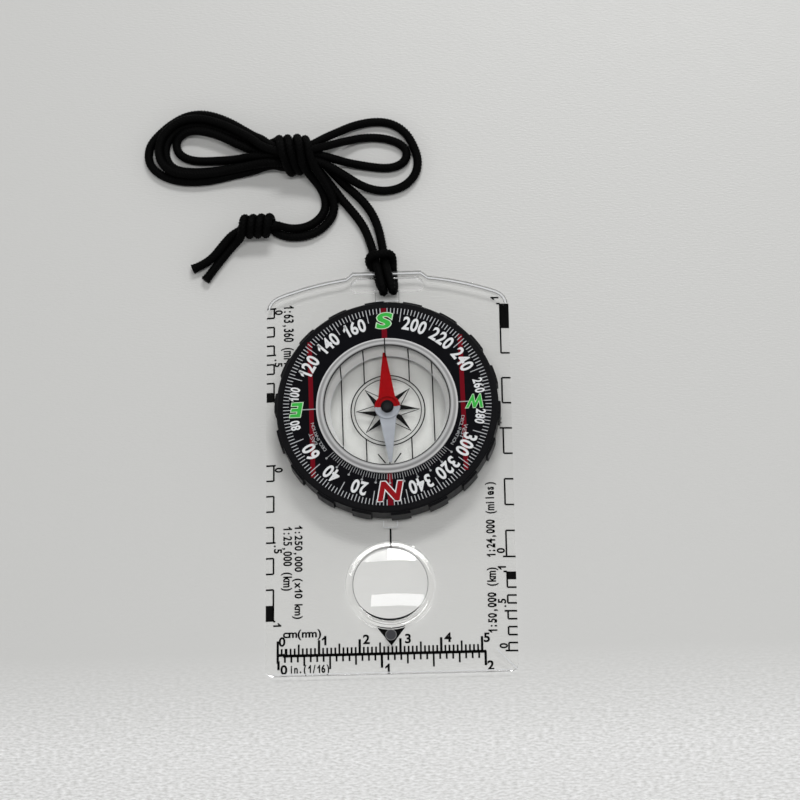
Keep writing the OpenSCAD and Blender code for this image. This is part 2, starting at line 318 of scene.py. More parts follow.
# painted shade: the wall grows dark towards its outer radius, under the rim
SHADED_WALL = wall_finish("capsule_wall_painted_shade", WALL_INNER, WALL_OUTER, (0.20, 0.20, 0.20), (0.78, 0.78, 0.77))
BEZEL = solid_finish(
    "bezel_black", (0.003, 0.003, 0.004), (0.006, 0.006, 0.007), 3.0, (0.32, 0.42), 0.12, 0.006,
    Specular_IOR_Level=0.06,
)
DIAL_BLACK = solid_finish(
    "dial_black", (0.002, 0.002, 0.003), (0.005, 0.005, 0.007), 2.5, (0.35, 0.45), 0.15, 0.003,
    Specular_IOR_Level=0.03,
)
STEEL = solid_finish(
    "pin_steel", (0.50, 0.50, 0.52), (0.62, 0.62, 0.64), 0.4, (0.2, 0.35), 0.1, 0.003, Metallic=1.0,
)
HUB = solid_finish(
    "hub_black", (0.002, 0.002, 0.003), (0.005, 0.005, 0.006), 0.6, (0.3, 0.45), 0.15, 0.006,
    Specular_IOR_Level=0.05,
)
JEWEL = solid_finish(
    "jewel", (0.10, 0.010, 0.02), (0.16, 0.015, 0.03), 0.4, (0.08, 0.15), 0.2, 0.002,
)
NEEDLE = needle_finish("needle_paint")
BRAID = braid_finish("lanyard_braid")


def ink_finish(name, colour):
    """Printing ink, a little uneven in density. Some of these finishes are painted highlight and
    shade lines, not print.
    """
    pale = tuple(min(1.0, 1.12 * c + 0.001) for c in colour)
    return solid_finish(name, colour, pale, 0.7, (0.4, 0.55), 0.2, 0.002, Specular_IOR_Level=0.02)


INK_BLACK = ink_finish("ink_black", (0.002, 0.002, 0.002))
# painted shade: the grey disc of the clear arrow boss
BOSS_SHADE = ink_finish("painted_boss_shade", (0.055, 0.055, 0.060))
# the hub hollow's dark grey, and the painted shade crescent by the lens
DARK_GREY_AND_SHADE = ink_finish("dark_grey_and_painted_shade", (0.014, 0.015, 0.016))
# painted shade: dark lines for the clear plate's edges, steps and the lens's gap
EDGE_SHADE = ink_finish("painted_edge_shade", (0.16, 0.16, 0.16))
# white print on the dial, and painted highlights along the plate's edges and the capsule floor's
# rim
WHITE_INK_AND_HIGHLIGHT = ink_finish("white_ink_and_painted_highlight", (0.68, 0.69, 0.70))
INK_DIM = ink_finish("ink_dim", (0.36, 0.37, 0.38))
INK_TICK = ink_finish("ink_tick", (0.46, 0.47, 0.49))
INK_DARK_RED = ink_finish("ink_dark_red", (0.15, 0.004, 0.010))
INK_RED = ink_finish("ink_red", (0.26, 0.008, 0.012))
INK_GREEN = ink_finish("ink_green", (0.045, 0.42, 0.06))
INK_MINT = ink_finish("ink_mint", (0.50, 0.68, 0.48))

DIMPLE_R = 0.85  # the hollow in the hub's top


def paint(node, finish, other=None, when=None):
    """Gives a CAD node its finish, and another one to the faces whose centre passes the test."""
    mesh = NODE[node].data
    mesh.materials.clear()
    mesh.materials.append(finish.material)
    if other:
        mesh.materials.append(other.material)
        for face in mesh.polygons:
            face.material_index = int(when(np.array(face.center) / MM))


def from_axis(point):
    """How far a point is from the dial's axis."""
    return np.hypot(*(point - DIAL)[:2])


def is_lid_rim(centre):
    return from_axis(centre) > WINDOW_R + 0.1


def is_hub_dimple(centre):
    return from_axis(centre) < DIMPLE_R and centre[2] > HUB_Z - 0.2


paint("base_plate", ACRYLIC)
paint("magnifier_lens", LENS_ACRYLIC)
paint("bezel_ring", BEZEL)
paint("graduated_ring", DIAL_BLACK)
paint("retaining_ring", BEZEL)
paint("capsule_cup", CAPSULE)
# the lid's rim takes the painted highlight and shade rings
paint("capsule_lid", CAPSULE, RIM_PAINTED_LIGHT, is_lid_rim)
paint("pivot_pin", STEEL)
paint("needle_blade", NEEDLE)
paint("needle_hub", HUB, DARK_GREY_AND_SHADE, is_hub_dimple)
paint("jewel_bearing", JEWEL)

EDGE_ROUND = 0.3  # the plate's edges are a little rounded
welding = NODE["base_plate"].modifiers.new("weld", "WELD")
welding.merge_threshold = 0.002 * MM
rounding = NODE["base_plate"].modifiers.new("edges", "BEVEL")
rounding.width = EDGE_ROUND * MM
rounding.segments = 3
rounding.limit_method = "ANGLE"
rounding.angle_limit = math.radians(50)
rounding.harden_normals = True

# ---- curves and meshes


def make_piece(name, corners, faces, finish, body, smooth=False):
    """A mesh from corners in millimetres, riding on a body."""
    mesh = bpy.data.meshes.new(name)
    mesh.from_pydata([tuple(c) for c in np.asarray(corners, float) * MM], [], faces)
    mesh.materials.append(finish.material)
    mesh.polygons.foreach_set("use_smooth", [smooth] * len(mesh.polygons))
    piece = bpy.data.objects.new(name, mesh)
    bpy.context.scene.collection.objects.link(piece)
    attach(piece, body)
    return piece


def evenly(points, step):
    """The same line with its points about step apart."""
    points = np.asarray(points, float)
    along = np.concatenate([[0], np.cumsum(np.linalg.norm(np.diff(points, axis=0), axis=1))])
    count = max(2, round(along[-1] / step) + 1)
    places = np.linspace(0, along[-1], count)
    return np.stack([np.interp(places, along, points[:, i]) for i in range(points.shape[1])], 1)


def smooth_line(points, step):
    """A smooth curve through the points, by Catmull and Rom's rule with centripetal spacing."""
    points = np.asarray(points, float)
    points = np.vstack([2 * points[0] - points[1], points, 2 * points[-1] - points[-2]])
    knots = np.concatenate([[0], np.cumsum(np.linalg.norm(np.diff(points, axis=0), axis=1) ** 0.5)])
    line = []
    for i in range(len(points) - 3):
        p, k = points[i:i + 4], knots[i:i + 4]
        t = np.linspace(k[1], k[2], 16, endpoint=False)[:, None]

        def between(a, b, ka, kb):
            return ((kb - t) * a + (t - ka) * b) / (kb - ka)

        a = [between(p[j], p[j + 1], k[j], k[j + 1]) for j in range(3)]
        b = [between(a[j], a[j + 1], k[j], k[j + 2]) for j in range(2)]
        line.append(between(b[0], b[1], k[1], k[2]))
    return evenly(np.vstack([*line, points[-2:-1]]), step)


def steady_frames(line):
    """Two directions square to the line at each point, which don't spin about it."""
    along = np.gradient(line, axis=0)
    along /= np.linalg.norm(along, axis=1)[:, None]
    side = np.cross(along[0], (0, 0, 1.0))
    side /= np.linalg.norm(side)
    sides = []
    for direction in along:
        side = side - direction * side.dot(direction)
        side /= np.linalg.norm(side)
        sides.append(side)
    sides = np.array(sides)
    return sides, np.cross(along, sides)


# ---- cord

CORD = 2.2  # diameter
RADIUS = CORD / 2
RING_STEP = 0.16  # between the rings of a cord's mesh
RING_SIDES = 24
PLAITS = 6  # bumps of the braid, round the cord
PLAIT_LENGTH = 0.80  # and along it
PLAIT_HEIGHT = 0.36  # from hollow to crest
PLAIT_SUNK = 0.15  # the share of it by which the mean radius stays below RADIUS
FLARE, FLARE_REACH = 0.16, 0.7  # a cut end's spread, and how far back it starts
FRAY, FRAY_REACH, FRAY_TUFTS = 0.05, 0.4, 5


def cord_mesh(name, line, flared_end=False, squeeze=None):
    """A braided cord along a line of points RING_STEP apart."""
    sides, ups = steady_frames(line)
    count = len(line)
    distance = np.arange(count) * RING_STEP
    angles = np.arange(RING_SIDES) * 2 * math.pi / RING_SIDES
    wave = np.cos(PLAITS * angles)[None, :] * np.cos(2 * math.pi * distance / PLAIT_LENGTH)[:, None]
    radii = RADIUS + PLAIT_HEIGHT * (0.5 * wave - PLAIT_SUNK)
    if flared_end:
        from_end = distance[-1] - distance
        flare = FLARE * np.exp(-(from_end / FLARE_REACH) ** 2)
        tufts = FRAY * np.cos(FRAY_TUFTS * angles + 1)
        fray = tufts[None, :] * np.exp(-from_end / FRAY_REACH)[:, None]
        radii = radii + flare[:, None] + fray
    rings = (line[:, None] + radii[..., None] * (np.cos(angles)[None, :, None] * sides[:, None]
                                                 + np.sin(angles)[None, :, None] * ups[:, None]))
    if squeeze:
        rings = squeeze(rings)
    corners = list(rings.reshape(-1, 3)) + [line[0], line[-1]]
    faces = []
    for i in range(count - 1):
        for j in range(RING_SIDES):
            k = (j + 1) % RING_SIDES
            a, b = i * RING_SIDES, (i + 1) * RING_SIDES
            faces.append((a + j, a + k, b + k, b + j))
    last = (count - 1) * RING_SIDES
    for j in range(RING_SIDES):
        k = (j + 1) % RING_SIDES
        faces.append((count * RING_SIDES, k, j))
        faces.append((count * RING_SIDES + 1, last + j, last + k))
    return make_piece(name, corners, faces, BRAID, "base", smooth=True)


# Strand routes. A route's points are at the cord's centre.
HITCH_LEFT, HITCH_RIGHT = (-3.2, 57.4, 1.7), (-0.7, 57.4, 1.7)
LEAD_A = [
    HITCH_LEFT, (-4.4, 62, 1.2), (-5.9, 66, 1.2), (-8.6, 70, 1.2), (-11.2, 73.2, 1.2),
    (-13.6, 76.6, 1.4), (-16.2, 80, 2.2), (-19.1, 83.6, 3.2),
]
LEAD_B = [
    HITCH_RIGHT, (-1.4, 62, 1.2), (-2.2, 66, 1.2), (-4.2, 70.6, 1.2), (-7.2, 74.4, 1.2),
    (-10.4, 77.4, 1.2), (-13.2, 80.4, 1.6), (-15.9, 83.6, 2.4), (-19.1, 86.3, 3.2),
]
LOOP_OUTER = [
    (-28.5, 87.3, 5.7), (-32.2, 90.1, 2.8), (-37.6, 94.7, 1.2), (-43.1, 98.0, 1.15),
    (-48.8, 99.7, 1.15), (-53.5, 98.8, 1.15), (-58.6, 94.9, 1.15), (-62.1, 91.2, 1.15),
    (-62.7, 87.8, 1.15), (-62.0, 84.8, 1.15), (-59.3, 82.3, 1.15), (-55.1, 80.5, 1.15),
    (-49.6, 79.9, 1.15), (-44.2, 80.5, 1.15), (-38.9, 82.0, 1.15), (-33.5, 83.3, 1.8),
    (-28.5, 83.6, 3.2),
]
LOOP_UPPER = [
    (-28.5, 85.2, 7.2), (-32.2, 88.6, 5.0), (-37.6, 92.6, 3.4), (-43.0, 95.7, 2.65),
    (-48.7, 97.6, 2.65), (-53.9, 96.9, 2.5), (-57.4, 94.3, 2.4), (-59.4, 91.1, 2.3),
    (-59.8, 87.5, 2.3), (-58.9, 85.0, 2.7), (-57.2, 82.9, 2.9), (-54.8, 81.8, 2.9),
    (-50.4, 81.3, 2.9), (-44.2, 81.7, 2.9), (-38.9, 82.6, 3.1), (-33.5, 83.2, 4.4),
    (-28.5, 83.3, 5.6), (-23.8, 84.4, 3.4),
]
LOOP_LOWER = [
    (-28.5, 89.4, 4.4), (-30.2, 88.9, 3.4), (-33.4, 89.4, 1.7), (-37.6, 91.9, 1.15),
    (-43.0, 94.4, 1.15), (-48.7, 96.4, 1.15), (-53.3, 96.3, 1.15), (-56.5, 94.1, 1.15),
    (-58.0, 91.8, 1.15), (-58.3, 89.5, 1.15), (-58.1, 87.4, 1.15), (-57.5, 85.5, 1.15),
    (-55.9, 83.7, 1.15), (-52.6, 82.9, 1.15), (-47.7, 82.8, 1.15), (-42.9, 83.2, 1.15),
    (-37.6, 83.9, 1.3), (-32.6, 85.2, 2.4), (-28.5, 86.5, 3.4), (-23.8, 85.6, 5.6),
]
LOOP_INNER = [
    (-27.0, 89.0, 2.3), (-29.5, 88.4, 1.9), (-33.0, 87.2, 2.2), (-36.2, 88.8, 2.4),
    (-38.9, 89.8, 2.5), (-43.0, 92.2, 2.65), (-48.7, 94.2, 2.6), (-52.2, 94.5, 2.2),
    (-54.6, 93.8, 1.5), (-55.6, 91.9, 1.15), (-55.5, 89.8, 1.15), (-54.4, 87.7, 1.15),
    (-52.1, 86.3, 1.15), (-48.8, 85.8, 1.15), (-44.3, 85.9, 1.15), (-40.3, 85.9, 1.3),
    (-36.2, 85.7, 2.0), (-32.2, 85.3, 3.9), (-28.5, 85.2, 5.0),
]
BOW_OUTER = [
    (-19.1, 87.3, 5.7), (-16.6, 89.3, 4.8), (-14.2, 91.0, 3.6), (-11.5, 92.8, 2.3),
    (-8.8, 94.4, 1.5), (-3.4, 95.7, 1.15), (1.4, 95.2, 1.15), (5.4, 92.4, 1.15),
    (7.2, 88.8, 1.15), (8.5, 85.3, 1.15), (8.6, 81.8, 1.15), (7.1, 78.7, 1.15),
    (3.9, 76.2, 1.15), (-1.0, 75.5, 1.15), (-6.3, 76.8, 2.2), (-10.3, 79.2, 3.7),
    (-13.7, 81.4, 4.2), (-16.5, 82.8, 4.9), (-19.1, 83.1, 5.7),
]
BOW_INNER = [
    (-19.1, 85.2, 7.2), (-16.6, 86.4, 6.0), (-14.0, 87.9, 4.4), (-11.5, 89.2, 3.0),
    (-8.8, 90.3, 1.8), (-6.1, 91.1, 1.2), (-2.1, 91.1, 1.15), (1.9, 90.2, 1.15),
    (5.3, 88.3, 1.15), (6.3, 86.2, 1.15), (5.8, 84.2, 1.15), (3.7, 82.4, 1.15),
    (-0.1, 82.0, 1.15), (-4.9, 82.9, 1.15), (-8.9, 83.7, 1.3), (-11.0, 84.0, 1.9),
    (-14.2, 84.6, 3.6), (-16.5, 85.0, 4.6), (-19.1, 85.2, 5.0),
]
TAIL_A = [
    (-20.6, 80.6, 4.4), (-19.4, 79.8, 2.6), (-17.6, 78.2, 1.5), (-15.9, 75.2, 1.2),
    (-15.3, 71.8, 1.2), (-16.4, 69, 1.2), (-19.9, 66.3, 1.2), (-24.2, 65.6, 1.2),
    (-28.2, 66.3, 2.1), (-30.2, 66.8, 3.0),
]
TAIL_B = [
    (-17.8, 80.2, 5.6), (-16.4, 78.6, 4.4), (-14.2, 75, 3.2), (-13, 71.6, 1.5),
    (-14.5, 67.6, 1.2), (-19, 64, 1.2), (-24, 63.2, 1.2), (-27.4, 63.9, 1.2),
]
END_A = [
    (-36, 66.3, 2.9), (-40.0, 64.0, 2.4), (-42.4, 61.2, 2.3), (-44.1, 58.6, 2.2),
    (-46.5, 56.8, 1.6), (-50.3, 55.4, 1.2),
]
END_B = [
    (-38.8, 63.0, 1.6), (-41.1, 60.3, 1.15), (-43.0, 57.8, 1.15), (-44.9, 55.0, 1.15),
    (-46.9, 52.2, 1.2),
]

WRAP_AXIS = (85.2, 5.0)  # y and z of the line that the two strands wind round
WRAP_R, WRAP_PITCH = 3.9, 4.3
WRAP_STEP = 22.5  # degrees between the points of a turn
KNOT = middle("lanyard_end_knot")
KNOT_R = 2.95
KNOT_START, KNOT_LENGTH = -3.6, 7.5
KNOT_FROM, KNOT_TO = math.radians(-80), math.radians(-1440)
KNOT_POINTS = 61


def winding(start_x, degrees):
    """A strand's turns round the middle of the bow."""
    points = []
    for angle in np.arange(0, degrees + 1, WRAP_STEP):
        y = WRAP_AXIS[0] + WRAP_R * math.cos(math.radians(angle))
        z = WRAP_AXIS[1] + WRAP_R * math.sin(math.radians(angle))
        points.append((start_x + WRAP_PITCH * angle / 360, y, z))
    return points


def in_knot(along, across, up):
    """A point beside the knot's centre; along points the way that the strands run through it."""
    return (KNOT[0] - along, KNOT[1] + across, KNOT[2] + up)


def knot_turns():
    """One strand passes under the other and winds round it, to leave on the other side."""
    turns = []
    for angle in np.linspace(KNOT_FROM, KNOT_TO, KNOT_POINTS):
        share = (angle - KNOT_FROM) / (KNOT_TO - KNOT_FROM)
        along = KNOT_LENGTH * share + KNOT_START
        turns.append(in_knot(along, -KNOT_R * math.cos(angle), KNOT_R * math.sin(angle)))
    return turns


STRAND_A = (LEAD_A + LOOP_OUTER[::-1] + BOW_OUTER + LOOP_LOWER[::-1][:-1]
            + winding(-27.4, 520) + TAIL_A + [in_knot(0, 0.3, -0.2)] + END_A)
STRAND_B = (LEAD_B + LOOP_UPPER[::-1] + BOW_INNER + LOOP_INNER[::-1]
            + winding(-25.3, 510) + TAIL_B + knot_turns() + END_B)

SETTLE_STEP = 0.8
SETTLE_ROUNDS = 160
SETTLE_SEARCH = 8  # rounds between two searches for near pairs
SETTLE_SAME_RUN = 2.6 * CORD / SETTLE_STEP  # points of a strand nearer than this don't push
SETTLE_PUSH, SETTLE_SMOOTH, SETTLE_HOME = 0.4, 0.25, 0.01
SETTLE_GAP = 0.95 * CORD  # between the centres of two runs that touch


def settle(lines):
    """Pushes runs of cord apart until none lies in another, with the first points held."""
    points = np.concatenate(lines)
    starts = np.cumsum([0] + [len(line) for line in lines])
    home = points.copy()
    number = np.arange(len(points))
    strand = np.searchsorted(starts, number, side="right")
    near = abs(number[:, None] - number[None]) < SETTLE_SAME_RUN
    neighbours = (strand[:, None] == strand[None]) & near
    fixed = np.concatenate([number[start:start + 3] for start in starts[:-1]])
    for turn in range(SETTLE_ROUNDS):
        if turn % SETTLE_SEARCH == 0:
            spans = ((points[:, None] - points[None]) ** 2).sum(2)
            first, second = np.nonzero((spans < (1.7 * SETTLE_GAP) ** 2) & ~neighbours)
        apart = points[first] - points[second]
        distance = np.linalg.norm(apart, axis=1) + 1e-6
        short = np.clip(SETTLE_GAP - distance, 0, None)
        touching = np.maximum(1, np.bincount(first[short > 0], minlength=len(points)))
        push = np.zeros_like(points)
        np.add.at(push, first, (short / distance)[:, None] * apart)
        points = points + SETTLE_PUSH * push / touching[:, None] ** 0.5
        smooth = points.copy()
        for start, end in zip(starts[:-1], starts[1:]):
            inner = points[start:end]
            smooth[start + 1:end - 1] = (inner[:-2] + inner[1:-1] * 2 + inner[2:]) / 4
        points += SETTLE_SMOOTH * (smooth - points) + SETTLE_HOME * (home - points)
        points[:, 2] = np.maximum(points[:, 2], RADIUS + 0.1)
        points[fixed] = home[fixed]
    return [points[a:b] for a, b in zip(starts[:-1], starts[1:])]


HITCH = [
    HITCH_LEFT, (-3.0, 56.2, 2.2), (-2.6, 54.6, 3.0), (-2.1, 52.6, 3.75), (-1.7, 50.5, 4.1),
    (-1.35, 48.8, 4.65), (-1.1, 47.5, 4.75), (-0.9, 46.6, 4.45), (-0.85, 46.25, 4.0),
    (-0.85, 46.7, 3.7), (-0.95, 47.7, 3.62), (-1.1, 48.35, 3.1), (-1.3, 48.6, 2.3),
    (-1.6, 49.0, 1.5), (-1.9, 50.1, 0.75), (-2.4, 51.9, 0.75), (-3.3, 53.7, 1.15),
    (-4.3, 54.9, 2.1), (-4.4, 55.8, 3.4), (-3.7, 56.3, 4.4), (-2.2, 56.5, 4.7),
    (-0.5, 56.7, 4.6), (0.7, 56.8, 4.0), (1.35, 56.5, 3.0), (1.5, 55.2, 1.7), (1.5, 53.6, 1.15),
    (1.6, 51.9, 0.75), (1.7, 50.1, 0.75), (1.75, 49.0, 1.5), (1.8, 48.6, 2.3),
    (1.85, 48.35, 3.1), (1.85, 47.7, 3.62), (1.8, 46.9, 3.7), (1.7, 46.45, 4.0),
    (1.55, 46.7, 4.4), (1.3, 47.6, 4.65), (1.0, 48.8, 4.5), (0.6, 50.5, 4.1), (0.1, 52.6, 3.75),
    (-0.3, 54.6, 3.0), (-0.6, 56.2, 2.2), HITCH_RIGHT,
]
BAR_NEAR, BAR_FAR = 50.5, 53.0  # the bar under which the hitch is pressed flat
BAR_LOW, BAR_HIGH = 0.04, 1.44
UNDER_BAR = 1.6  # a run whose centre is lower than this passes under it


def press_under_bar(rings):
    """Flattens the part of the hitch that passes between the bar and the ground."""
    middles = rings.mean(axis=1)
    y = middles[:, 1]
    under = (y > BAR_NEAR - 1) & (y < BAR_FAR + 1) & (middles[:, 2] < UNDER_BAR)
    near = np.clip(np.minimum(y - BAR_NEAR + 1, BAR_FAR + 1 - y), 0, 1)
    share = np.where(under, near, 0)[:, None]
    height = rings[..., 2]
    pressed = np.clip(height, BAR_LOW, BAR_HIGH)
    rings[..., 2] = np.maximum(height + share * (pressed - height), BAR_LOW)
    return rings


def make_lanyard():
    rough = [smooth_line(route, SETTLE_STEP) for route in (STRAND_A, STRAND_B)]
    strands = [smooth_line(line, RING_STEP) for line in settle(rough)]
    hitch = cord_mesh("hitch", smooth_line(HITCH, RING_STEP), squeeze=press_under_bar)
    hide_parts("lanyard_hitch")
    stands_for = (
        ("lanyard_lead_left", "lanyard_loop_left", "lanyard_tail_inner", "lanyard_end_left"),
        ("lanyard_lead_right", "lanyard_loop_right", "lanyard_wrap", "lanyard_tail_outer",
         "lanyard_end_knot", "lanyard_end_right"),
    )
    for name, line, nodes in zip(("strand_a", "strand_b"), strands, stands_for):
        strand = cord_mesh(name, line, flared_end=True)
        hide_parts(*nodes)


make_lanyard()

# ---- printing


def turned(points, degrees):
    """Points in a plane, turned counter-clockwise about its origin."""
    a = math.radians(degrees)
    x, y = np.asarray(points, float).T
    return np.stack([x * math.cos(a) - y * math.sin(a), x * math.sin(a) + y * math.cos(a)], 1)


def on_bearing(radius, bearing):
    """A point on a dial whose north is +Y, at a clockwise bearing."""
    b = math.radians(bearing)
    return radius * math.sin(b), radius * math.cos(b)


def strip(start, end, width):
    """The four corners of a straight bar, counter-clockwise."""
    start, end = np.array(start, float), np.array(end, float)
    along = (end - start) / np.linalg.norm(end - start)
    side = np.array((-along[1], along[0])) * width / 2
    return [start - side, end - side, end + side, start + side]


# a box's faces, where its corners go round its foot and then round its top
BOX_FACES = ((3, 2, 1, 0), (4, 5, 6, 7), (0, 1, 5, 4), (1, 2, 6, 5), (2, 3, 7, 6), (3, 0, 4, 7))
GLYPHS = {}


def with_flag(corners, faces):
    """The plain upright of a figure 1, with a flag to the left of its top."""
    left, high = corners[:, 0].min(), corners[:, 1].max()
    thick = np.ptp(corners[:, 0])
    inner, tip = left + 0.5 * thick, left - 1.1 * thick
    flag = [(inner, high), (tip, high - 1.5 * thick),
            (tip, high - 2.4 * thick), (inner, high - 1.4 * thick)]
    start = len(corners)
    extra = [(x, y, z) for z in (-0.5, 0.5) for x, y in flag]
    return np.vstack([corners, extra]), faces + [tuple(start + i for i in f) for f in BOX_FACES]


def glyph(character, weight):
    """A character's flat closed mesh, with a digit 1 high, and 1 wide where it is a 0."""
    if (character, weight) not in GLYPHS:
        curve = bpy.data.curves.new("glyph", "FONT")
        curve.body = character
        curve.extrude = 0.5
        curve.offset = weight
        curve.resolution_u = 4
        holder = bpy.data.objects.new("glyph", curve)
        mesh = bpy.data.meshes.new_from_object(holder)
        form = bmesh.new()
        form.from_mesh(mesh)
        bmesh.ops.remove_doubles(form, verts=form.verts, dist=1e-5)
        form.verts.index_update()
        corners = np.array([v.co for v in form.verts])
        faces = [tuple(v.index for v in face.verts) for face in form.faces]
        form.free()
        bpy.data.objects.remove(holder)
        bpy.data.curves.remove(curve)
        bpy.data.meshes.remove(mesh)
        if character == "1":
            corners, faces = with_flag(corners, faces)
        GLYPHS[character, weight] = (corners, faces)
    return GLYPHS[character, weight]


class Ink:
    """Printing on a flat face. Its closed shapes gather in one mesh of one colour."""

    THICK = 0.012

    def __init__(self, height, origin=(0, 0), turn=0.0):
        self.height, self.origin, self.turn = height, origin, turn
        self.corners, self.faces = [], []

    def gather(self, flat, heights, faces):
        start = len(self.corners)
        placed = turned(flat, self.turn) + np.asarray(self.origin)[:2]
        self.corners += [(x, y, z) for (x, y), z in zip(placed, heights)]
        self.faces += [tuple(start + i for i in face) for face in faces]

    def shape(self, outline):
        """A filled outline, given counter-clockwise."""
        count = len(outline)
        flat = list(outline) * 2
        heights = [self.height] * count + [self.height + self.THICK] * count
        faces = [tuple(range(count))[::-1], tuple(range(count, 2 * count))]
        for i in range(count):
            j = (i + 1) % count
            faces.append((i, j, count + j, count + i))
        self.gather(flat, heights, faces)

    def bar(self, start, end, width):
        self.shape(strip(start, end, width))

    def spoke(self, bearing, inner, outer, width):
        self.bar(on_bearing(inner, bearing), on_bearing(outer, bearing), width)

    def slope(self, start, end, rise, width):
        """A bar that climbs from the face by rise at its far end."""
        climb = (0, rise, rise, 0)
        heights = [self.height + up + thick for thick in (0, self.THICK) for up in climb]
        self.gather(strip(start, end, width) * 2, heights, BOX_FACES)

    def disc(self, centre, radius, sides=20):
        angles = np.arange(sides) * 2 * math.pi / sides
        self.shape([(centre[0] + radius * math.cos(a), centre[1] + radius * math.sin(a))
                    for a in angles])

    def ring(self, radius, width, centre=(0, 0), sides=120):
        inner, outer = radius - width / 2, radius + width / 2
        flat, heights = [], []
        for height in (self.height, self.height + self.THICK):
            for r in (inner, outer):
                for a in np.arange(sides) * 2 * math.pi / sides:
                    flat.append((centre[0] + r * math.cos(a), centre[1] + r * math.sin(a)))
                    heights.append(height)
        faces = []
        for i in range(sides):
            j = (i + 1) % sides
            a, b, c, d = (k * sides for k in range(4))
            faces += [(a + i, a + j, b + j, b + i), (c + i, d + i, d + j, c + j),
                      (a + i, c + i, c + j, a + j), (b + i, b + j, d + j, d + i)]
        self.gather(flat, heights, faces)

    def letter(self, character, at, height, width, turn=0.0, weight=0.0, slant=0.0):
        """One character whose 0 would be width wide, centred on at."""
        corners, faces = glyph(character, weight)
        zero = glyph("0", 0.0)[0]
        tall, wide = np.ptp(zero[:, 1]), np.ptp(zero[:, 0])
        centre_x = (corners[:, 0].min() + corners[:, 0].max()) / 2
        centre_y = (zero[:, 1].min() + zero[:, 1].max()) / 2
        flat = (corners[:, :2] - (centre_x, centre_y)) * (width / wide, height / tall)
        flat[:, 0] += slant * flat[:, 1]
        heights = self.height + (corners[:, 2] + 0.5) * self.THICK
        self.gather(turned(flat, turn) + np.asarray(at), heights, faces)

    def words(self, text, at, height, pitch, turn=0.0, weight=0.0, fill=0.8):
        """Characters pitch apart, centred on at."""
        for i, character in enumerate(text):
            if character != " ":
                offset = turned([((i - (len(text) - 1) / 2) * pitch, 0)], turn)[0]
                self.letter(character, np.asarray(at) + offset, height, fill * pitch, turn, weight)

    def arc_words(self, text, radius, bearing, height, pitch, weight=0.0, fill=0.8):
        """Characters along an arc about the origin, with their tops outward."""
        step = math.degrees(pitch / radius)
        for i, character in enumerate(text):
            if character != " ":
                b = bearing + (i - (len(text) - 1) / 2) * step
                at = on_bearing(radius, b)
                self.letter(character, at, height, fill * pitch, -b, weight)

    def piece(self, name, finish, body="dial", slot="dial_print"):
        return make_piece(name, self.corners, self.faces, finish, body)


# ---- the plate's printing

CM = 10.0
INCH = 25.4
FINE, LINE, LONG_LINE, THICK_LINE = 0.43, 0.46, 0.6, 0.72
BOLD = 0.03  # how much thicker than the font the letters are
RULER_X, RULER_Y = -27.8, -47.3
CM_TICKS = -43.75, -44.7, -45.7  # where whole, half and tenth centimetres end
INCH_TICKS = -50.8, -49.9, -48.95  # where half, quarter and sixteenth inches end
LEFT_SCALE = -28.95, -30.9, -28.45  # a scale's x: its line, the plate's edge, its long ticks
RIGHT_SCALE = 28.6, 30.9, 27.7
READ_DOWN, READ_UP = -90, 90
PRINT_Z = 0.010  # just inside the plate's underside
ON_TOP = PLATE[2] - 0.004  # just inside its top


def print_ruler(ink):
    last = RULER_X + 2 * INCH
    ink.bar((RULER_X - 0.3, RULER_Y), (last + 0.2, RULER_Y), THICK_LINE)
    for i in range(51):
        x = RULER_X + i * CM / 10
        end = CM_TICKS[0 if i % 10 == 0 else 1 if i % 5 == 0 else 2]
        ink.bar((x, RULER_Y), (x, end), LONG_LINE if i % 10 == 0 else LINE)
    for i in range(33):
        x = RULER_X + i * INCH / 16
        end = INCH_TICKS[0 if i % 8 == 0 else 1 if i % 4 == 0 else 2]
        ink.bar((x, RULER_Y), (x, end), LONG_LINE if i % 16 == 0 else LINE)
    digits = (
        ("0", -26.70, -43.94), ("1", -16.54, -43.88), ("2", -6.15, -43.83), ("3", 4.06, -43.88),
        ("4", 13.87, -43.82), ("5", 23.39, -44.06), ("0", -26.48, -50.77), ("1", -1.06, -51.03),
        ("2", 24.19, -50.83),
    )
    for digit, x, y in digits:
        ink.letter(digit, (x, y), 2.25, 1.5, weight=BOLD)
    ink.words("cm(mm)", (-21.8, -42.0), 1.9, 1.62, weight=BOLD)
    ink.words("in.(1/16)", (-20.15, -50.7), 1.9, 1.12, weight=BOLD)


def print_scale(ink, across, start_y, length):
    """A map scale beside the plate's edge.

    It's a broken line with cross strokes and a solid last tenth.
    """
    line_x, edge_x, tick_x = across

    def at(tenth):
        return start_y + length * tenth / 10

    for first, end in ((0, 1), (2, 3), (4, 5), (6, 7), (8, 10)):
        ink.bar((line_x, at(first)), (line_x, at(end)), FINE)
    for tenth in range(9):
        ink.bar((line_x, at(tenth)), (edge_x, at(tenth)), FINE)
    for tenth in (0, 5, 10):
        ink.bar((line_x, at(tenth)), (tick_x, at(tenth)), FINE)
    low, high = sorted((at(9), at(10)))
    left, right = sorted((line_x, edge_x))
    ink.shape([(left, low), (right, low), (right, high), (left, high)])


# The plate's top edge: a wide bow with a round shoulder at each end and a proud bar in its middle.
BOW_RADIUS, BOW_TOP = 79.0, 51.9
BOW_FROM, BOW_TO = 10.4, 27.6
PROUD_HALF = 8.7
SHOULDER, SHOULDER_RADIUS = (26.5, 42.5), 4.5
